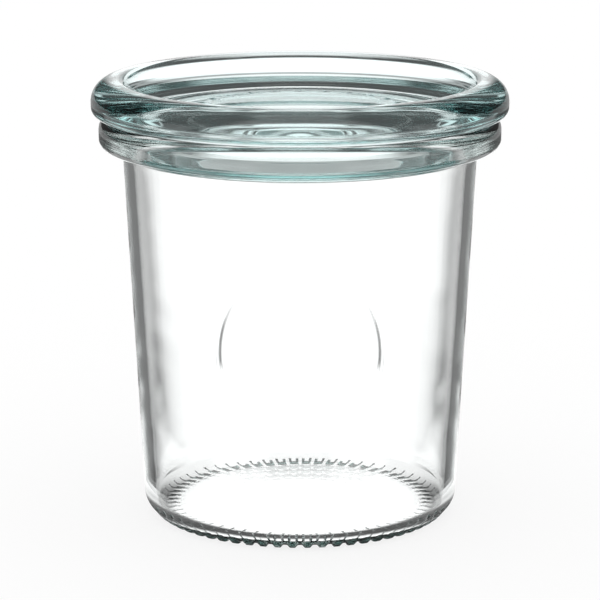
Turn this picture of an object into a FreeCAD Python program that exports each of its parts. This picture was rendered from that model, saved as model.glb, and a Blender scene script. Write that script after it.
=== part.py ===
import FreeCAD, Part
import math
import os

# Clear glass canning jar with its loose glass lid.
# Everything is turned about the Z axis, in millimetres, and the jar stands on Z = 0.
# Two solids are made: the jar and the lid that only rests on its rim.

# ---------------------------------------------------------------- the jar's own sizes
JAR_HEIGHT = 68.6        # resting plane to the flat sealing face
HEEL_RADIUS = 26.65      # outside, where the straight wall starts above the rounded heel
NECK_RADIUS = 29.8       # outside, where the wall runs into the underside of the rim
WALL = 1.9               # pressed glass wall, measured level
FLOOR_THICKNESS = 1.5    # glass over the bearing ring; the floor inside is flat
PUSH_UP = 0.75           # how far the middle of the underside is lifted off the table
PUSH_UP_SLOPE = 9.7      # width of the gentle slope from that middle out to the ribs
PUSH_UP_ROUND = 60.0     # its blend into the slope that comes down to the bearing ring
BEARING_MARGIN = 0.3     # the level ring starts this much inside the ribs
BEARING_ROUND = 10.0
INNER_CORNER = 1.9       # rounding between the floor and the inside of the wall
HEEL_ROUND = 3.4         # rounding between the bearing ring and the outside of the wall

# ---------------------------------------------------------------- the rim that seals
RIM_OVERHANG = 3.95      # how far the rim stands out past the neck, for the clips
RIM_HEIGHT = 5.7         # from its underside up to the sealing face
RIM_LOWER_ROUND = 1.5
RIM_UPPER_ROUND = 2.4
RIM_UNDER_SLOPE = 0.65   # the underside rises this much on its way out, for the mould
NECK_FILLET = 0.8
MOUTH_FLARE = 0.2        # the inside opens this much more than the wall's taper at the top
MOUTH_ROUND = 0.6        # rounding of the inner edge of the mouth

# ---------------------------------------------------------------- the knurled bearing ring
KNURL_COUNT = 62         # short radial ribs that the jar stands on
KNURL_HEIGHT = 0.5
KNURL_RING_WIDTH = 5.95  # from the heel's radius in to where the ribs begin
KNURL_CREST = 0.75       # flat width of a rib's crest
KNURL_FOOT = 1.65        # width of a rib where it leaves the glass
KNURL_CLIMB = 2.6        # how high the ribs run up the heel
KNURL_BEND = 0.68        # share of the heel's rounding, in from the wall, where a rib turns up
KNURL_SUNK = 0.2         # how far a rib's body carries on into the glass it stands on
KNURL_RUN_OUT = 0.02     # how far a rib's crest passes the wall where it ends

# ---------------------------------------------------------------- the lid's own sizes
LID_OVERHANG = 1.25      # how far the lid stands out past the jar's rim
LID_RIM_HEIGHT = 5.9     # sealing face to the crest of the raised rim
LID_CREST_ROUND = 3.6    # outer rounding of the crest
LID_LOWER_ROUND = 1.6    # rounding under the widest line
CREST_WIDTH = 5.35       # from the lid's widest line in to where the crest starts to fall
CREST_INNER_ROUND = 1.3
CHAMFER_WIDTH = 1.35     # the sloping band between the crest and the dish's steep side
CHAMFER_DROP = 2.2
CHAMFER_ROUND = 0.3
DISH_DEPTH = 5.7         # crest to panel: the dish that the next jar up stands in
DISH_SIDE_LEAN = 1.55    # how far the dish's side leans out on its way up
DISH_FILLET = 1.6
PANEL_SLOPE = 10.75      # width of the slope from the dish's foot to the level middle
PANEL_RISE = 0.9         # how far that middle stands above the foot of the dish's side
PANEL_ROUND = 20.0
PANEL_THICKNESS = 5.15   # glass in the middle of the lid
PLUG_DEPTH = 6.4         # how far the middle of the lid reaches down into the mouth
PLUG_CLEARANCE = 1.35    # gap round the plug, level
PLUG_ROUND = 0.5
PLUG_FILLET = 0.3        # inner corner between the plug and the lid's sealing face
PLUG_RING_WIDTH = 4.9    # the plug is a ring: inside it the underside is hollowed
HOLLOW_SLOPE = 0.6       # how much narrower the hollow is at its top
HOLLOW_ROUND = 0.55

# ---------------------------------------------------------------- worked out from those
RIM_RADIUS = NECK_RADIUS + RIM_OVERHANG
LID_RADIUS = RIM_RADIUS + LID_OVERHANG
KNURL_INNER_RADIUS = HEEL_RADIUS - KNURL_RING_WIDTH
PUSH_UP_RADIUS = KNURL_INNER_RADIUS - PUSH_UP_SLOPE
KNURL_PLANE = KNURL_HEIGHT                       # glass between the ribs starts here
NECK_Z = JAR_HEIGHT - RIM_HEIGHT
TAPER = (NECK_RADIUS - HEEL_RADIUS) / (NECK_Z - HEEL_ROUND)   # level growth per height


def outer_radius(z):
    """Outside of the straight wall at a height."""
    return HEEL_RADIUS + (z - HEEL_ROUND) * TAPER


def inner_radius(z):
    """Inside of the straight wall at a height."""
    return outer_radius(z) - WALL


MOUTH_RADIUS = inner_radius(JAR_HEIGHT) + MOUTH_FLARE
FLOOR_Z = KNURL_PLANE + FLOOR_THICKNESS
PLUG_Z = JAR_HEIGHT - PLUG_DEPTH
PLUG_RADIUS = inner_radius(PLUG_Z) - PLUG_CLEARANCE
CREST_Z = JAR_HEIGHT + LID_RIM_HEIGHT
CREST_INNER_RADIUS = LID_RADIUS - CREST_WIDTH
CHAMFER_RADIUS = CREST_INNER_RADIUS - CHAMFER_WIDTH
DISH_Z = CREST_Z - DISH_DEPTH
DISH_RADIUS = CHAMFER_RADIUS - DISH_SIDE_LEAN
PANEL_RADIUS = DISH_RADIUS - PANEL_SLOPE
PANEL_Z = DISH_Z + PANEL_RISE
HOLLOW_Z = PANEL_Z - PANEL_THICKNESS
HOLLOW_RADIUS = PLUG_RADIUS - PLUG_RING_WIDTH
ROUND_SHARE = 0.96                               # two roundings fill this much of a side at most
LID_EDGE_ROUND = min(LID_LOWER_ROUND, LID_RIM_HEIGHT * ROUND_SHARE - LID_CREST_ROUND)


def rounded_outline(corners):
    """Closed wire in the XZ plane through (radius, height, rounding) corners."""
    count = len(corners)
    cuts = []
    for i in range(count):
        here = FreeCAD.Vector(corners[i][0], 0, corners[i][1])
        before = FreeCAD.Vector(corners[i - 1][0], 0, corners[i - 1][1])
        after = FreeCAD.Vector(corners[(i + 1) % count][0], 0, corners[(i + 1) % count][1])
        rounding = corners[i][2]
        if rounding <= 0:
            cuts.append((here, None, here))
            continue
        back = (before - here).normalize()
        ahead = (after - here).normalize()
        half = back.getAngle(ahead) / 2
        setback = rounding / math.tan(half)
        to_centre = (back + ahead).normalize()
        middle = here + to_centre * (rounding / math.sin(half) - rounding)
        cuts.append((here + back * setback, middle, here + ahead * setback))
    edges = []
    for i in range(count):
        start, middle, end = cuts[i]
        if middle is not None:
            edges.append(Part.Arc(start, middle, end).toShape())
        following = cuts[(i + 1) % count][0]
        if end.distanceToPoint(following) > 1e-6:
            edges.append(Part.LineSegment(end, following).toShape())
    return Part.Wire(edges)


def turned(corners):
    """Solid of revolution about Z from an outline of rounded corners."""
    face = Part.Face(rounded_outline(corners))
    solid = face.revolve(FreeCAD.Vector(0, 0, 0), FreeCAD.Vector(0, 0, 1), 360)
    if solid.Volume < 0:
        solid.reverse()
    return solid


def knurl_bar(start, end):
    """One straight stretch of a rib: its crest runs from start to end in the XZ plane,
    and it widens from the crest down into the glass."""
    along = end - start
    length = along.Length
    along.normalize()
    inward = FreeCAD.Vector(-along.z, 0, along.x)      # square to the crest, into the glass
    depth = KNURL_HEIGHT + KNURL_SUNK
    spread = KNURL_CREST + (KNURL_FOOT - KNURL_CREST) * depth / KNURL_HEIGHT
    side = FreeCAD.Vector(0, 1, 0)
    points = [
        start + side * (KNURL_CREST / 2),
        start + inward * depth + side * (spread / 2),
        start + inward * depth - side * (spread / 2),
        start - side * (KNURL_CREST / 2),
    ]
    section = Part.Face(Part.makePolygon(points + points[:1]))
    return section.extrude(along * length)


def knurl_rib():
    """A rib at angle 0: flat on the table, then up the heel."""
    top = FreeCAD.Vector(outer_radius(KNURL_CLIMB) + KNURL_RUN_OUT, 0, KNURL_CLIMB)
    turn = FreeCAD.Vector(HEEL_RADIUS - HEEL_ROUND * KNURL_BEND, 0, 0)
    start = FreeCAD.Vector(KNURL_INNER_RADIUS, 0, 0)
    return knurl_bar(start, turn), knurl_bar(turn, top)


def make_jar():
    heel_corner = outer_radius(KNURL_PLANE)
    body = turned([
        (0, PUSH_UP, 0),
        (PUSH_UP_RADIUS, PUSH_UP, PUSH_UP_ROUND),
        (KNURL_INNER_RADIUS - BEARING_MARGIN, KNURL_PLANE, BEARING_ROUND),
        (heel_corner, KNURL_PLANE, HEEL_ROUND),
        (NECK_RADIUS, NECK_Z, NECK_FILLET),
        (RIM_RADIUS, NECK_Z + RIM_UNDER_SLOPE, RIM_LOWER_ROUND),
        (RIM_RADIUS, JAR_HEIGHT, RIM_UPPER_ROUND),
        (MOUTH_RADIUS, JAR_HEIGHT, MOUTH_ROUND),
        (inner_radius(FLOOR_Z), FLOOR_Z, INNER_CORNER),
        (0, FLOOR_Z, 0),
    ])
    bars = []
    for i in range(KNURL_COUNT):
        turn = 360.0 * i / KNURL_COUNT
        for bar in knurl_rib():
            bar.rotate(FreeCAD.Vector(0, 0, 0), FreeCAD.Vector(0, 0, 1), turn)
            bars.append(bar)
    return body.multiFuse(bars).removeSplitter()


def make_lid():
    return turned([
        (0, HOLLOW_Z, 0),
        (HOLLOW_RADIUS - HOLLOW_SLOPE, HOLLOW_Z, HOLLOW_ROUND),
        (HOLLOW_RADIUS, PLUG_Z, HOLLOW_ROUND),
        (PLUG_RADIUS, PLUG_Z, PLUG_ROUND),
        (PLUG_RADIUS, JAR_HEIGHT, PLUG_FILLET),
        (LID_RADIUS, JAR_HEIGHT, LID_EDGE_ROUND),
        (LID_RADIUS, CREST_Z, LID_CREST_ROUND),
        (CREST_INNER_RADIUS, CREST_Z, CREST_INNER_ROUND),
        (CHAMFER_RADIUS, CREST_Z - CHAMFER_DROP, CHAMFER_ROUND),
        (DISH_RADIUS, DISH_Z, DISH_FILLET),
        (PANEL_RADIUS, PANEL_Z, PANEL_ROUND),
        (0, PANEL_Z, 0),
    ])


os.makedirs("parts", exist_ok=True)
for name, shape in (("jar", make_jar()), ("lid", make_lid())):
    print(name, "solids", len(shape.Solids), "valid", shape.isValid(),
          "volume cm3", round(shape.Volume / 1000, 3),
          "box", [round(v, 3) for v in (shape.BoundBox.XLength, shape.BoundBox.YLength,
                                        shape.BoundBox.ZMin, shape.BoundBox.ZMax)])
    shape.exportStep("parts/" + name + ".step")
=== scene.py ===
# %% [markdown]
# # A glass canning jar with a loose glass lid
#
# The object is two pieces of pressed soda-lime glass. The jar is a tapered tumbler with a
# thick rolled rim, and it stands on a ring of short radial ribs. The lid is a heavy disc
# with a raised edge, a dish on top and a plug below, and it only rests on the jar's flat
# sealing face. Nothing is inside.
#
# Clear glass has no colour of its own to paint. What we see in it comes from three things:
# the true shape, inside as well as outside; a faint green that builds up where the glass
# is thick; and the bright and dark parts of the room that it bends into view. The steps
# below take them in that order.
#
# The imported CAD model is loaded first. It stays the measure of every size below.

# %% Load the frame
import math

import bpy
import numpy as np
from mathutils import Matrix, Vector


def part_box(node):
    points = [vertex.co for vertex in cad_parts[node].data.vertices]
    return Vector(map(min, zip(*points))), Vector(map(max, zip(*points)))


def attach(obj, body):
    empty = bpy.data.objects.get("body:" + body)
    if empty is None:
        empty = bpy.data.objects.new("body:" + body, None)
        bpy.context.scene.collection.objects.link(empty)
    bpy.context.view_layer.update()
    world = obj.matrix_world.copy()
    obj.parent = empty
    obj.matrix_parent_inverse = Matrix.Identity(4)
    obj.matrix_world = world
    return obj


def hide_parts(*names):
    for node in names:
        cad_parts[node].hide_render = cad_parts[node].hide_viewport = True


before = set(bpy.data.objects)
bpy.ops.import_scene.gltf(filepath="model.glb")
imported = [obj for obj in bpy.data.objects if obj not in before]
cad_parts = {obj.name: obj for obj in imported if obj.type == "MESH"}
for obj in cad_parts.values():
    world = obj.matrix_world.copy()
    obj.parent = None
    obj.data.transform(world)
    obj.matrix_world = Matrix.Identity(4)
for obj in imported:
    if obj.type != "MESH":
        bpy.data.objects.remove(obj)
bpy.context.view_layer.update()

# %% [markdown]
# ## Colours and nodes
#
# Shader sockets take linear light, while a colour is easier to read as the sRGB hex value
# of a colour picker, so one function turns the one into the other. A second function adds
# a node, sets it up and links its inputs. With those two, each material further down reads
# as a short list of what is in it.

# %% Colour and node helpers
MM = 0.001


def linear(hex_colour, alpha=1.0):
    """sRGB hex to linear: c / 12.92 below 0.04045, else ((c + 0.055) / 1.055) to the 2.4."""
    parts = np.array([int(hex_colour[i:i + 2], 16) for i in (1, 3, 5)]) / 255.0
    light = np.where(parts <= 0.04045, parts / 12.92, ((parts + 0.055) / 1.055) ** 2.4)
    return (*light.tolist(), alpha)


def node(tree, kind, settings=None, inputs=None):
    """Adds a node. An input's value is a plain value or another node's output socket."""
    made = tree.nodes.new(kind)
    for name, value in (settings or {}).items():
        setattr(made, name, value)
    for key, value in (inputs or {}).items():
        if isinstance(value, bpy.types.NodeSocket):
            tree.links.new(value, made.inputs[key])
        else:
            made.inputs[key].default_value = value
    return made


# %% [markdown]
# ## The jar's sizes
#
# Glassware of this kind is drawn as one half outline, turned about its axis. These are the
# sizes that the CAD model was made from, in millimetres, so that the two agree. The overall
# height and the widest radius are read from the frame itself. One size is not the CAD
# model's: its ribs sink into the heel at about the height KNURL_CLIMB too, but come out of
# it once more between 2 and 2.6 millimetres up, and these don't. The wall is only two
# millimetres thick and tapers by a few degrees, which lets the plunger that pressed the
# inside draw out again.

# %% Sizes of the jar
jar_box = np.array(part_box("jar")) / MM
lid_box = np.array(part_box("lid")) / MM
JAR_HEIGHT = float(jar_box[1][2])       # resting plane to sealing face
RIM_RADIUS = float(jar_box[1][0])
HEEL_RADIUS = 26.65                     # outside, where the straight wall starts
NECK_RADIUS = 29.8                      # outside, where the wall meets the rim
WALL = 1.9
FLOOR_THICKNESS = 1.5
INNER_CORNER = 1.9
HEEL_ROUND = 3.4
PUSH_UP = 0.75                          # the underside's middle is lifted off the table
PUSH_UP_RADIUS = 11.0
PUSH_UP_ROUND = 60.0
RIM_HEIGHT = 5.7
RIM_LOWER_ROUND = 1.5
RIM_UPPER_ROUND = 2.4
RIM_UNDER_SLOPE = 0.65
NECK_FILLET = 0.8
MOUTH_FLARE = 0.2
MOUTH_ROUND = 0.6
KNURL_COUNT = 62                        # ribs of the ring that the jar stands on
KNURL_HEIGHT = 0.5
KNURL_CREST = 0.75                      # flat width of a rib's crest
KNURL_FOOT = 1.65                       # its width where it leaves the glass
KNURL_INNER_RADIUS = 20.7
KNURL_MIDDLE_RADIUS = 22.5              # where those two widths are measured
KNURL_CLIMB = 1.4                       # the ribs have died out this high up the heel
NECK_Z = JAR_HEIGHT - RIM_HEIGHT
FLOOR_Z = KNURL_HEIGHT + FLOOR_THICKNESS
TAPER = (NECK_RADIUS - HEEL_RADIUS) / (NECK_Z - HEEL_ROUND)


def outer_radius(z):
    """Outside of the wall: a straight line, wider by TAPER for each millimetre up."""
    return HEEL_RADIUS + (z - HEEL_ROUND) * TAPER


def inner_radius(z):
    """Inside of the wall: the outside less the wall's level thickness."""
    return outer_radius(z) - WALL


print("jar height", round(JAR_HEIGHT, 2),
      "mm, mouth radius", round(inner_radius(JAR_HEIGHT), 2),
      "mm, wall taper", round(math.degrees(math.atan(TAPER)), 2), "degrees")

# %% [markdown]
# ## The lid's sizes
#
# The lid is far thicker than the jar's wall, so it bends light much more, and most of the
# strong lines of the whole object come from it. Its crest is nearly a full round. Inside
# the crest a narrow sloping band leads to the steep side of the dish, in which the foot of
# the next jar stands when jars are stacked. Under the lid a ring reaches down into the mouth
# and keeps the lid from sliding off. From in front it is seen through the jar's rim, and
# its nearly five millimetres of glass add to the green there.

# %% Sizes of the lid
LID_RADIUS = float(lid_box[1][0])
CREST_Z = float(lid_box[1][2])
LID_CREST_ROUND = 3.6
LID_LOWER_ROUND = 1.6
CREST_INNER_RADIUS = LID_RADIUS - 5.35
CREST_INNER_ROUND = 1.3
CHAMFER_RADIUS = CREST_INNER_RADIUS - 1.35
CHAMFER_DROP = 2.2
CHAMFER_ROUND = 0.3
DISH_Z = CREST_Z - 5.7
DISH_RADIUS = CHAMFER_RADIUS - 1.55
DISH_FILLET = 1.6
PANEL_RADIUS = 16.0
PANEL_Z = DISH_Z + 0.9
PANEL_ROUND = 20.0
PLUG_Z = JAR_HEIGHT - 6.4
PLUG_RADIUS = inner_radius(PLUG_Z) - 1.35
PLUG_ROUND = 0.5
PLUG_FILLET = 0.3
PLUG_RING_WIDTH = 4.9                   # the plug is a ring; inside it the lid is hollowed
HOLLOW_RADIUS = PLUG_RADIUS - PLUG_RING_WIDTH
HOLLOW_Z = PANEL_Z - 5.15               # the panel's thickness
HOLLOW_SLOPE = 0.6
HOLLOW_ROUND = 0.55
AIR_GAP = 0.02                          # glass that only touches keeps a film of air
print("lid radius", round(LID_RADIUS, 2), "mm, crest height", round(CREST_Z, 2),
      "mm, panel thickness", round(PANEL_Z - HOLLOW_Z, 2), "mm")

# %% [markdown]
# ## From corners to an outline
#
# A lathe profile is quickest to state the way a mould drawing does: corners, each with a
# rounding. Every rounding matters here, because a rounded glass edge is a small lens and
# shows as a dark or bright line. The function below replaces each corner with an arc and
# fills the straight stretches with points at a given pitch, closer where relief will need
# them.

# %% Outline with rounded corners
ARC_STEP = 9.0      # degrees between points on an arc


def outline(corners):
    """Points along a line through (radius, height, rounding, pitch to the next) corners.

    Each corner P with neighbours A and B is cut back by rounding / tan(half angle), and an
    arc about C = P + bisector * rounding / sin(half angle) joins the two cuts.
    """
    spots = np.array([corner[:2] for corner in corners], float)
    parts = []
    for i, (_, _, rounding, _) in enumerate(corners):
        here = spots[i]
        if rounding <= 0:
            parts.append(here[None])
            continue
        back, ahead = spots[i - 1] - here, spots[i + 1] - here
        back, ahead = back / np.linalg.norm(back), ahead / np.linalg.norm(ahead)
        half = math.acos(float(np.clip(back @ ahead, -1, 1))) / 2
        bisector = (back + ahead) / np.linalg.norm(back + ahead)
        centre = here + bisector * rounding / math.sin(half)
        first = here + back * rounding / math.tan(half) - centre
        last = here + ahead * rounding / math.tan(half) - centre
        sweep = math.pi - 2 * half
        t = np.linspace(0, 1, max(3, math.ceil(math.degrees(sweep) / ARC_STEP) + 1))[:, None]
        parts.append(centre + (np.sin((1 - t) * sweep) * first + np.sin(t * sweep) * last)
                     / math.sin(sweep))
    points = [parts[0]]
    for before, after, corner in zip(parts, parts[1:], corners):
        start, end = before[-1], after[0]
        t = np.linspace(0, 1, int(np.linalg.norm(end - start) // corner[3]) + 2)[1:-1, None]
        points += [start + (end - start) * t, after]
    return np.concatenate(points)


def normals_of(line):
    """Unit normals to the right of a line's direction, from central differences."""
    along = np.gradient(line, axis=0)
    along /= np.linalg.norm(along, axis=1)[:, None]
    return np.stack([along[:, 1], -along[:, 0]], axis=1)


# %% [markdown]
# ## From an outline to a turned surface
#
# Blender's Screw or Spin could turn such a line. Working the surface out as arrays has one
# advantage: every point knows its angle round the axis and its place along the outline, so
# ribs, embossing and the waviness of pressed glass are all just a distance to add along
# the outline's own normal. The line starts and ends on the axis, and one fan of triangles
# closes each pole, so the skin is watertight. That matters for glass, because the renderer
# decides from it whether a ray is inside or outside.

# %% Turned surface
def turned(name, line, angle, relief):
    """Surface of revolution with closed poles: x = r cos a, y = r sin a, z = h.

    relief(angle, line, normals) gives a distance in millimetres, on the whole grid of angles
    and points, to move along the outline's normal.
    """
    normals = normals_of(line)[1:-1]
    inner = line[1:-1]
    move = relief(angle[:, None], inner[None], normals[None])
    r = inner[None, :, 0] + move * normals[None, :, 0]
    h = inner[None, :, 1] + move * normals[None, :, 1]
    grid = np.stack([r * np.cos(angle)[:, None], r * np.sin(angle)[:, None], h], axis=-1)
    poles = np.array([[0, 0, line[0, 1]], [0, 0, line[-1, 1]]])
    vertices = np.concatenate([grid.reshape(-1, 3), poles]) * MM
    rows, columns = grid.shape[:2]
    index = np.arange(rows * columns).reshape(rows, columns)
    ahead = np.roll(index, -1, axis=0)
    quads = np.stack([index[:, :-1], ahead[:, :-1], ahead[:, 1:], index[:, 1:]], axis=-1)
    low = np.stack([np.full(rows, rows * columns), ahead[:, 0], index[:, 0]], axis=-1)
    high = np.stack([np.full(rows, rows * columns + 1), index[:, -1], ahead[:, -1]], axis=-1)
    loops = np.concatenate([quads.ravel(), low.ravel(), high.ravel()])
    sizes = np.concatenate([np.full(quads.size // 4, 4), np.full(2 * rows, 3)])
    mesh = bpy.data.meshes.new(name)
    mesh.vertices.add(len(vertices))
    mesh.vertices.foreach_set("co", vertices.ravel())
    mesh.loops.add(len(loops))
    mesh.loops.foreach_set("vertex_index", loops)
    mesh.polygons.add(len(sizes))
    mesh.polygons.foreach_set("loop_start", np.cumsum(sizes) - sizes)
    mesh.polygons.foreach_set("use_smooth", np.ones(len(sizes), bool))
    mesh.update(calc_edges=True)
    piece = bpy.data.objects.new(name, mesh)
    bpy.context.scene.collection.objects.link(piece)
    print(name, "triangles", 2 * (quads.size // 4) + 2 * rows)
    return piece


def smooth_step(x, low, high):
    """0 below low, 1 above high, and 3 t^2 - 2 t^3 between them."""
    t = np.clip((x - low) / (high - low), 0, 1)
    return t * t * (3 - 2 * t)


# %% [markdown]
# ## The jar's outline
#
# It runs from the middle of the underside out over the bearing ring, round the heel, up the
# outside, over the rim and down the inside to the middle of the floor. The stretch of wall
# that carries the raised oval gets a point every half millimetre; two corners without a
# rounding mark its ends. The turn is cut so that every rib of the base has a point at the
# middle and both edges of its crest, both edges of its foot, and the middle of the gap to
# the next rib. Towards the front the steps are halved, again for the oval.

# %% Outline and angles of the jar
OVAL_Z = 33.5                           # middle of the raised oval
OVAL_REACH = 17.0                       # the wall has fine points this far above and below
jar_line = outline([
    (0, PUSH_UP, 0, 2.0),
    (PUSH_UP_RADIUS, PUSH_UP, PUSH_UP_ROUND, 1.5),
    (KNURL_INNER_RADIUS - 0.3, KNURL_HEIGHT, 10.0, 0.5),
    (outer_radius(KNURL_HEIGHT), KNURL_HEIGHT, HEEL_ROUND, 1.5),
    (outer_radius(OVAL_Z - OVAL_REACH), OVAL_Z - OVAL_REACH, 0, 0.5),
    (outer_radius(OVAL_Z + OVAL_REACH), OVAL_Z + OVAL_REACH, 0, 1.5),
    (NECK_RADIUS, NECK_Z, NECK_FILLET, 0.6),
    (RIM_RADIUS, NECK_Z + RIM_UNDER_SLOPE, RIM_LOWER_ROUND, 0.8),
    (RIM_RADIUS, JAR_HEIGHT, RIM_UPPER_ROUND, 1.5),
    (inner_radius(JAR_HEIGHT) + MOUTH_FLARE, JAR_HEIGHT, MOUTH_ROUND, 1.6),
    (inner_radius(FLOOR_Z), FLOOR_Z, INNER_CORNER, 2.0),
    (0, FLOOR_Z, 0, 0),
])
RIB_TURN = 2 * math.pi / KNURL_COUNT
FRONT = 1.5 * math.pi                   # the jar's front is -Y
FRONT_HALF = math.radians(30)           # to either side of it the steps are halved
in_rib = np.array([0, KNURL_CREST / 2, KNURL_FOOT / 2]) / KNURL_MIDDLE_RADIUS
in_rib = np.concatenate([in_rib, [RIB_TURN / 2], RIB_TURN - in_rib[:0:-1]])
even = (np.arange(KNURL_COUNT)[:, None] * RIB_TURN + in_rib).ravel()
halves = (even + np.append(even[1:], 2 * math.pi)) / 2
jar_angles = np.sort(np.concatenate([even, halves[np.abs(halves - FRONT) < FRONT_HALF]]))
print("outline points", len(jar_line), "angles", len(jar_angles))

# %% [markdown]
# ## Relief on the jar
#
# Three kinds, added together. The knurled ring is the strongest: straight-sided ribs, like
# those under many bottles, which keep most of the base off the surface that it stands on.
# At their inner ends they rise over a few millimetres, where the CAD model's start square.
# The oval is a plain raised line, with a lower one inside it, in the place where such jars
# carry a mark. The last is the gentle unevenness that the plunger leaves
# on the inside, about a hundredth of a millimetre at the most.

# %% Ribs, oval and waviness
KNURL_LEAD = 0.2                        # the ribs start this far inside their inner radius
KNURL_RISE = 2.5                        # and are at full height this far outside it
OVALS = ((13.8, 15.0, 0.19), (11.6, 12.7, 0.09))     # half width, half height, relief
OVAL_LINE = 0.45                        # from the line's middle to where 1 / e of it is left
OVAL_SIDE = 13.0                        # the lines have their full relief this far to a side
OVAL_LOW = 0.3                          # and this share of it above and below the middle
RIPPLE = 0.004
RIPPLE_LENGTHS = (8.3, 5.9, 13.7)       # from wave to wave, up the wall
RIPPLE_START = (FLOOR_Z + 4, FLOOR_Z + 12)          # heights between which they fade in
RIPPLE_END = (NECK_Z - 9, NECK_Z - 2)               # and out again


def knurls(angle, line, normals):
    """Ribs: full height across the crest, falling straight to nothing at the foot."""
    r, z = line[..., 0], line[..., 1]
    away = np.abs((angle + RIB_TURN / 2) % RIB_TURN - RIB_TURN / 2) * KNURL_MIDDLE_RADIUS
    rib = np.clip((KNURL_FOOT / 2 - away) / ((KNURL_FOOT - KNURL_CREST) / 2), 0, 1)
    start = smooth_step(r, KNURL_INNER_RADIUS - KNURL_LEAD, KNURL_INNER_RADIUS + KNURL_RISE)
    end = 1 - smooth_step(z, KNURL_HEIGHT, KNURL_CLIMB)
    outside = (normals[..., 1] < 0) & (z < KNURL_CLIMB)
    return KNURL_HEIGHT * rib * start * end * outside


def oval(angle, line, normals):
    """A raised line where (x / a)^2 + (y / b)^2 is 1 on the unrolled wall, and one inside it.

    Both are highest at their sides, by low + (1 - low) * (x / side)^2.
    """
    r, z = line[..., 0], line[..., 1]
    outside = (normals[..., 0] > 0.9) & (z > HEEL_ROUND) & (z < NECK_Z)
    across, up = (angle - FRONT) * r, z - OVAL_Z
    total = 0
    for half_width, half_height, height in OVALS:
        size = np.hypot(across / half_width, up / half_height)
        away = (size - 1) * min(half_width, half_height)
        total = total + height * np.exp(-(away / OVAL_LINE) ** 2)
    sideness = np.clip(across / OVAL_SIDE, -1, 1) ** 2
    return total * (OVAL_LOW + (1 - OVAL_LOW) * sideness) * outside


def ripples(angle, line, normals):
    """Waves of the plunger's side: three sines of height and angle that never line up."""
    r, z = line[..., 0], line[..., 1]
    inside = (normals[..., 0] < -0.9) & (r > 10)
    first, second, third = RIPPLE_LENGTHS
    waves = (np.sin(z * 2 * math.pi / first + 2 * np.sin(3 * angle))
             + np.sin(z * 2 * math.pi / second + 5 * angle)
             + np.sin(z * 2 * math.pi / third - 7 * angle))
    fade = smooth_step(z, *RIPPLE_START) * (1 - smooth_step(z, *RIPPLE_END))
    return RIPPLE * waves * fade * inside


def jar_relief(angle, line, normals):
    """The three kinds of relief together."""
    return (knurls(angle, line, normals) + oval(angle, line, normals)
            + ripples(angle, line, normals))


jar = turned("jar_glass", jar_line, jar_angles, jar_relief)

# %% [markdown]
# ## Crisp rib edges
#
# Smooth shading would blend each rib's flat crest into its steep sides. The edges that run
# along a rib's corners are therefore marked sharp, which is what Blender's Mark Sharp does
# by hand. Only edges on the ribs themselves are marked, so the heel and wall stay smooth.

# %% Sharp edges along the ribs
NEAR = 0.01                             # mm, counts as lying on a rib's corner
RIB_TOP = KNURL_CLIMB - 0.2             # above this a rib is too faint to have corners
SAME_TURN = 1e-4                        # two points at the same angle, but for rounding
mesh = jar.data
ends = np.empty(len(mesh.edges) * 2, np.int32)
mesh.edges.foreach_get("vertices", ends)
ends = ends.reshape(-1, 2)
points = np.empty(len(mesh.vertices) * 3)
mesh.vertices.foreach_get("co", points)
points = points.reshape(-1, 3) / MM
place = np.hypot(points[:, 0], points[:, 1])
turn = np.arctan2(points[:, 1], points[:, 0])
away = np.abs((turn + RIB_TURN / 2) % RIB_TURN - RIB_TURN / 2) * KNURL_MIDDLE_RADIUS
corner = np.minimum(np.abs(away - KNURL_CREST / 2), np.abs(away - KNURL_FOOT / 2)) < NEAR
ring = (place > KNURL_INNER_RADIUS) & (points[:, 2] < RIB_TOP) & corner
along = np.abs(np.sin((turn[ends[:, 0]] - turn[ends[:, 1]]) / 2)) < SAME_TURN
sharp = ring[ends[:, 0]] & ring[ends[:, 1]] & along
mesh.attributes.new("sharp_edge", "BOOLEAN", "EDGE").data.foreach_set("value", sharp)
mesh.update()
print("sharp edges", int(sharp.sum()))

# %% [markdown]
# ## The lid
#
# The same method, with a plainer relief: a ring of low round bosses on the panel, where
# lids of this kind carry raised marks. From above they show as a ring of small dark marks.

# %% Lid
lid_line = outline([
    (0, HOLLOW_Z, 0, 2.0),
    (HOLLOW_RADIUS - HOLLOW_SLOPE, HOLLOW_Z, HOLLOW_ROUND, 0.6),
    (HOLLOW_RADIUS, PLUG_Z, HOLLOW_ROUND, 0.6),
    (PLUG_RADIUS, PLUG_Z, PLUG_ROUND, 0.8),
    (PLUG_RADIUS, JAR_HEIGHT + AIR_GAP, PLUG_FILLET, 1.0),
    (LID_RADIUS, JAR_HEIGHT + AIR_GAP, LID_LOWER_ROUND, 0.8),
    (LID_RADIUS, CREST_Z, LID_CREST_ROUND, 0.6),
    (CREST_INNER_RADIUS, CREST_Z, CREST_INNER_ROUND, 0.5),
    (CHAMFER_RADIUS, CREST_Z - CHAMFER_DROP, CHAMFER_ROUND, 0.5),
    (DISH_RADIUS, DISH_Z, DISH_FILLET, 0.4),
    (PANEL_RADIUS, PANEL_Z, PANEL_ROUND, 0.8),
    (0, PANEL_Z, 0, 0),
])
LID_STEPS = 384
lid_angles = np.arange(LID_STEPS) * (2 * math.pi / LID_STEPS)
BOSS_COUNT = 24
BOSS_RING = 17.0
BOSS_HEIGHT = 0.2
BOSS_SIZE = 0.7


def bosses(angle, line, normals):
    """A ring of plain round bosses on the panel: height * exp(-(distance / size)^4)."""
    r = line[..., 0]
    top = (normals[..., 1] > 0.9) & (r < DISH_RADIUS)
    step = 2 * math.pi / BOSS_COUNT
    turn = (angle + step / 2) % step - step / 2
    away = np.hypot(r - BOSS_RING, turn * BOSS_RING)
    return BOSS_HEIGHT * np.exp(-(away / BOSS_SIZE) ** 4) * top


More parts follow.
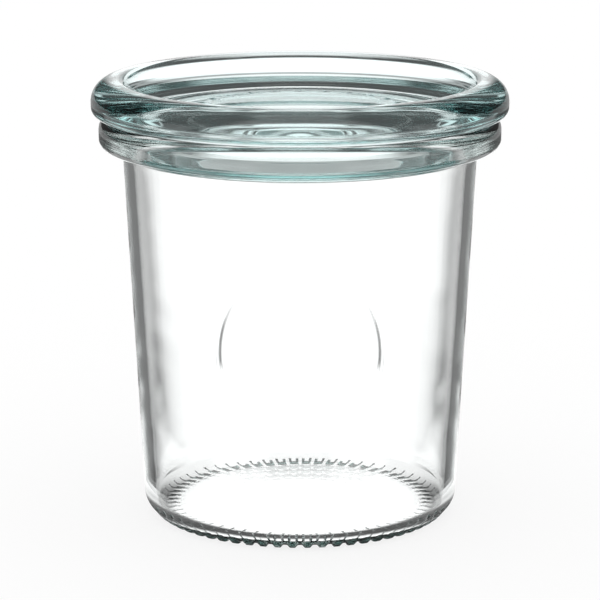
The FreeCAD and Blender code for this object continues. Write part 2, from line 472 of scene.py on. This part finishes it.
lid = turned("lid_glass", lid_line, lid_angles, bosses)

# %% [markdown]
# ## The glass
#
# A Principled shader with full transmission is clear glass: polished, so its roughness is
# nought, and with soda-lime's refractive index of 1.52. It has no colour on its surface.
# The faint green of ordinary glass comes from iron, all through it, so it belongs in the
# volume, where it builds up with the length of glass that light crosses: the two
# millimetre wall stays colourless and the rims, seen along their length, turn green. The
# lid's tint is the deeper of the two.

# %% Glass
WHITE = linear("#FFFFFF")
GLASSES = (      # piece, node of the frame, name, iron green
    (jar, "jar", "soda_lime_glass_jar", "#DEEFEC"),
    (lid, "lid", "soda_lime_glass_lid", "#AAE7E6"),
)
for piece, cad_node, name, colour in GLASSES:
    glass = bpy.data.materials.new(name)
    glass.use_nodes = True
    tree = glass.node_tree
    tree.nodes.clear()
    shader = node(tree, "ShaderNodeBsdfPrincipled", inputs={
        "Base Color": WHITE,
        "Roughness": 0.0,                    # fire polished
        "IOR": 1.52,                         # soda-lime glass
        "Transmission Weight": 1.0})
    tint = node(tree, "ShaderNodeVolumeAbsorption", inputs={
        "Color": linear(colour),
        "Density": 30.0})                    # per metre
    node(tree, "ShaderNodeOutputMaterial", inputs={
        "Surface": shader.outputs["BSDF"], "Volume": tint.outputs["Volume"]})
    piece.data.materials.append(glass)
    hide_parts(cad_node)
    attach(piece, "root")
    print(name, "tint", colour)

# %% [markdown]
# ## The floor
#
# A sheet of white paper. The camera sees it as nearly pure white while the glass still
# leaves its soft shadow there, which is how a packshot is lit: part of what the camera
# sees is the paper's own glow. The glass doesn't see the sheet at all. In its place it sees
# the two things that the next steps make: a glowing disc under the jar with painted light
# and painted shade on it, and a studio that holds the table as well, so that the light that
# comes up through the jar is set by direction.

# %% Floor
FLOOR_HALF = 3.0                        # metres
PAPER_REFLECTS = 0.9                    # share of the light that white paper sends back
GLOW = 1.03                             # strength of the paper's own glow
GLOW_SHARE = 0.8                        # and its share of what the camera sees
floor_mesh = bpy.data.meshes.new("floor")
floor_mesh.from_pydata([(-FLOOR_HALF, -FLOOR_HALF, 0), (FLOOR_HALF, -FLOOR_HALF, 0),
                        (FLOOR_HALF, FLOOR_HALF, 0), (-FLOOR_HALF, FLOOR_HALF, 0)],
                       [], [(0, 1, 2, 3)])
floor = bpy.data.objects.new("floor", floor_mesh)
bpy.context.scene.collection.objects.link(floor)
floor.visible_transmission = False
floor.visible_glossy = False
paper = bpy.data.materials.new("white_paper")
paper.use_nodes = True
tree = paper.node_tree
tree.nodes.clear()
diffuse = node(tree, "ShaderNodeBsdfDiffuse", inputs={
    "Color": (*(PAPER_REFLECTS * part for part in WHITE[:3]), 1.0)})
glow = node(tree, "ShaderNodeEmission", inputs={"Color": WHITE, "Strength": GLOW})
share = node(tree, "ShaderNodeMixShader", inputs={
    0: GLOW_SHARE, 1: diffuse.outputs[0], 2: glow.outputs[0]})
path = node(tree, "ShaderNodeLightPath")
seen = node(tree, "ShaderNodeMixShader", inputs={
    0: path.outputs["Is Camera Ray"], 1: diffuse.outputs[0], 2: share.outputs[0]})
node(tree, "ShaderNodeOutputMaterial", inputs={"Surface": seen.outputs[0]})
floor.data.materials.append(paper)
print("floor", 2 * FLOOR_HALF, "m square")

# %% [markdown]
# ## A glowing disc under the jar, with painted light and painted shade
#
# The ribs lift the jar half a millimetre off the floor that its own floor is seen against.
# Through the glass, that floor is not paper but a flat glowing disc. It is seen only through
# glass, and its points carry their own glow. Its middle glows brighter than the floor, which
# is painted light, so that the jar's floor looks white through the glass. Under the heel, from
# the sides round to the front, its glow is turned down, which is painted shade, and the thick
# glass there carries that dark arc up into view as the line that closes the jar at its base.

# %% Glowing disc under the jar, with painted light and painted shade
# Painted light and painted shade: the disc glows 1.6 in the middle, brighter than the floor,
# and its glow is turned down under the heel from the sides round to the front.
PAINTED_DISC_RINGS = np.array([0.2, 20.5, 22.0, 23.5, 27.5, 31.0, 36.0])       # radii, mm
PAINTED_DISC_GLOW = np.array([1.6, 1.6, 1.3, 1.15, 1.15, 1.15, 1.15])         # how bright they are
FRONT_PAINTED_SHADE = np.array([0.0, 0.0, 0.0, 1.0, 1.0, 0.5, 0.0])             # how far each is shaded
PAINTED_SHADE_DEPTH = 0.92                      # share of the light that full shade takes away
PAINTED_SHADE_NONE, PAINTED_SHADE_FULL = -0.7, 0.0      # on a scale of -1 at the back to 1 at the front
PAINTED_DISC_STEPS = 96
PAINTED_DISC_Z = -0.1                          # mm, just below the floor
painted_disc_turn = np.arange(PAINTED_DISC_STEPS) * (2 * math.pi / PAINTED_DISC_STEPS)
painted_shade_mask = smooth_step(-np.sin(painted_disc_turn), PAINTED_SHADE_NONE, PAINTED_SHADE_FULL)
# Each ring's glow, less the painted shade where the mask is set.
painted_light_and_shade = PAINTED_DISC_GLOW[:, None] * (1 - PAINTED_SHADE_DEPTH * FRONT_PAINTED_SHADE[:, None] * painted_shade_mask)
ring = PAINTED_DISC_RINGS[:, None] * MM
points = np.stack([ring * np.cos(painted_disc_turn), ring * np.sin(painted_disc_turn),
                   np.full(painted_light_and_shade.shape, PAINTED_DISC_Z * MM)], axis=-1)
index = np.arange(painted_light_and_shade.size).reshape(painted_light_and_shade.shape)
ahead = np.roll(index, -1, axis=1)
faces = np.stack([index[:-1], index[1:], ahead[1:], ahead[:-1]], axis=-1)
disc_mesh = bpy.data.meshes.new("painted_shade_disc_under_jar")
disc_mesh.from_pydata(points.reshape(-1, 3).tolist(), [], faces.reshape(-1, 4).tolist())
carrier = disc_mesh.attributes.new("painted_light_and_shade", "FLOAT", "POINT")
carrier.data.foreach_set("value", painted_light_and_shade.ravel())
disc = bpy.data.objects.new("painted_shade_disc_under_jar", disc_mesh)
bpy.context.scene.collection.objects.link(disc)
disc.visible_camera = False
disc.visible_diffuse = False
disc.visible_shadow = False
# The disc's material glows with the painted light and shade that each point carries.
painted_disc_material = bpy.data.materials.new("painted_light_and_shade_disc")
painted_disc_material.use_nodes = True
tree = painted_disc_material.node_tree
tree.nodes.clear()
carried = node(tree, "ShaderNodeAttribute", {"attribute_name": "painted_light_and_shade"})
painted_glow = node(tree, "ShaderNodeEmission", inputs={
    "Color": WHITE, "Strength": carried.outputs["Fac"]})
node(tree, "ShaderNodeOutputMaterial", inputs={"Surface": painted_glow.outputs[0]})
disc.data.materials.append(painted_disc_material)
# The range of the disc's painted light and painted shade.
print("paper under the jar, brightness", round(float(painted_light_and_shade.min()), 2), "to",
      round(float(painted_light_and_shade.max()), 2))

# %% [markdown]
# ## The studio
#
# Glass is lit by what stands round it, so the studio is drawn straight into the world by
# direction: how far round from straight behind the jar, and how high, both in degrees.
# Bright panels are the table, the backdrop, the side soft boxes, the key soft box over the
# camera and the one overhead. The table's far edge, between table and backdrop, is at half
# strength, and a grey card stands beside the table. Everything else is dark, and it is the
# dark that draws the edges of the glass, which is called bright-field lighting. The corners
# of the table are lit so that the jar doesn't look smoked to someone who walks round it.
#
# Each panel fades at its edges through four Map Range nodes, one for each side, and the
# brightest panel wins. The camera and the floor see plain white instead, so the background
# is white and the shadow is soft whatever the panels are doing.

# %% World
PANELS = [      # name, (from, to, softness, softness) round, the same up, strength
    ("table", (-90, 6, 1, 11), (-33, -8.5, 8, 2), 1.22),
    ("table beyond the jar", (-90, 12, 1, 14), (-36, -17, 8, 2.5), 1.45),
    ("table edge", (-90, 50, 1, 10), (-9, 0, 1, 1), 0.5),
    ("backdrop", (-90, 4, 1, 8), (1, 16, 3, 8), 1.12),
    ("table under the jar", (-90, 270, 1, 1), (-90, -58, 1, 10), 1.0),
    ("table at the back corners", (32, 60, 10, 12), (-35, -22, 6, 3), 1.05),
    ("table at the front corners", (118, 150, 12, 12), (-22, -9, 5, 4), 1.05),
    ("side soft boxes", (50, 112, 10, 45), (-16, -10, 2.5, 4), 1.1),
    ("side soft boxes, upper half", (75, 112, 12, 12), (-10, 5, 3, 5), 1.05),
    ("key soft box", (145, 180, 15, 1), (26, 48, 16, 22), 1.12),
    ("soft box overhead", (-90, 270, 1, 1), (82, 90, 14, 1), 1.0),
    ("grey card beside the table", (-90, 60, 1, 1), (-17.5, -9, 2.5, 3), 0.2),
]
DARK = 0.09                             # the unlit room
world = bpy.data.worlds.new("studio")
bpy.context.scene.world = world
world.use_nodes = True
tree = world.node_tree
tree.nodes.clear()
coords = node(tree, "ShaderNodeTexCoord")
xyz = node(tree, "ShaderNodeSeparateXYZ", inputs={0: coords.outputs["Generated"]})
side = node(tree, "ShaderNodeMath", {"operation": "ABSOLUTE"}, {0: xyz.outputs["X"]})
round_turn = node(tree, "ShaderNodeMath", {"operation": "ARCTAN2"},
                  {0: side.outputs[0], 1: xyz.outputs["Y"]})
azimuth = node(tree, "ShaderNodeMath", {"operation": "DEGREES"}, {0: round_turn.outputs[0]})
up_turn = node(tree, "ShaderNodeMath", {"operation": "ARCSINE"}, {0: xyz.outputs["Z"]})
elevation = node(tree, "ShaderNodeMath", {"operation": "DEGREES"}, {0: up_turn.outputs[0]})
light = DARK
for name, around, upward, strength in PANELS:
    left, right, left_soft, right_soft = around
    low, high, low_soft, high_soft = upward
    panel = strength
    for angle, nothing, full in ((azimuth, left - left_soft, left),
                                 (azimuth, right + right_soft, right),
                                 (elevation, low - low_soft, low),
                                 (elevation, high + high_soft, high)):
        edge = node(tree, "ShaderNodeMapRange",
                    {"interpolation_type": "SMOOTHSTEP", "label": name},
                    {"Value": angle.outputs[0], "From Min": nothing, "From Max": full,
                     "To Min": 0.0, "To Max": panel})
        panel = edge.outputs["Result"]
    brightest = node(tree, "ShaderNodeMath", {"operation": "MAXIMUM"}, {0: panel, 1: light})
    light = brightest.outputs[0]
path = node(tree, "ShaderNodeLightPath")
plain = node(tree, "ShaderNodeMath", {"operation": "MAXIMUM"},
             {0: path.outputs["Is Camera Ray"], 1: path.outputs["Is Diffuse Ray"]})
shown = node(tree, "ShaderNodeMath", {"operation": "MAXIMUM"}, {0: light, 1: plain.outputs[0]})
sky = node(tree, "ShaderNodeBackground", inputs={
    "Color": WHITE, "Strength": shown.outputs[0]})
node(tree, "ShaderNodeOutputWorld", inputs={"Surface": sky.outputs[0]})
print("studio panels", len(PANELS))

# %% [markdown]
# ## The camera
#
# A long lens from half a metre, looking down by thirteen degrees: near enough to see
# into the dish of the lid, far enough that the jar's sides stay straight. Glass needs many
# bounces, because light that enters a thick rim turns round inside it several times.

# %% Camera
CAMERA_BACK, CAMERA_UP, LOOK_DOWN = 0.5, 0.152, 13.01      # metres, metres, degrees
LENS, SENSOR = 181.3, 36.0                                  # mm
GLASS_BOUNCES, OTHER_BOUNCES = 24, 12
scene = bpy.context.scene
scene.view_settings.view_transform = "Standard"
camera_data = bpy.data.cameras.new("camera")
camera_data.lens = LENS
camera_data.sensor_width = SENSOR
camera = bpy.data.objects.new("camera", camera_data)
camera.location = (0.0, -CAMERA_BACK, CAMERA_UP)
camera.rotation_euler = (math.radians(90 - LOOK_DOWN), 0, 0)
scene.collection.objects.link(camera)
scene.camera = camera
scene.cycles.max_bounces = GLASS_BOUNCES
scene.cycles.transmission_bounces = GLASS_BOUNCES
scene.cycles.glossy_bounces = OTHER_BOUNCES
scene.cycles.transparent_max_bounces = OTHER_BOUNCES
print("camera looks down", LOOK_DOWN, "degrees from", CAMERA_BACK, "m")
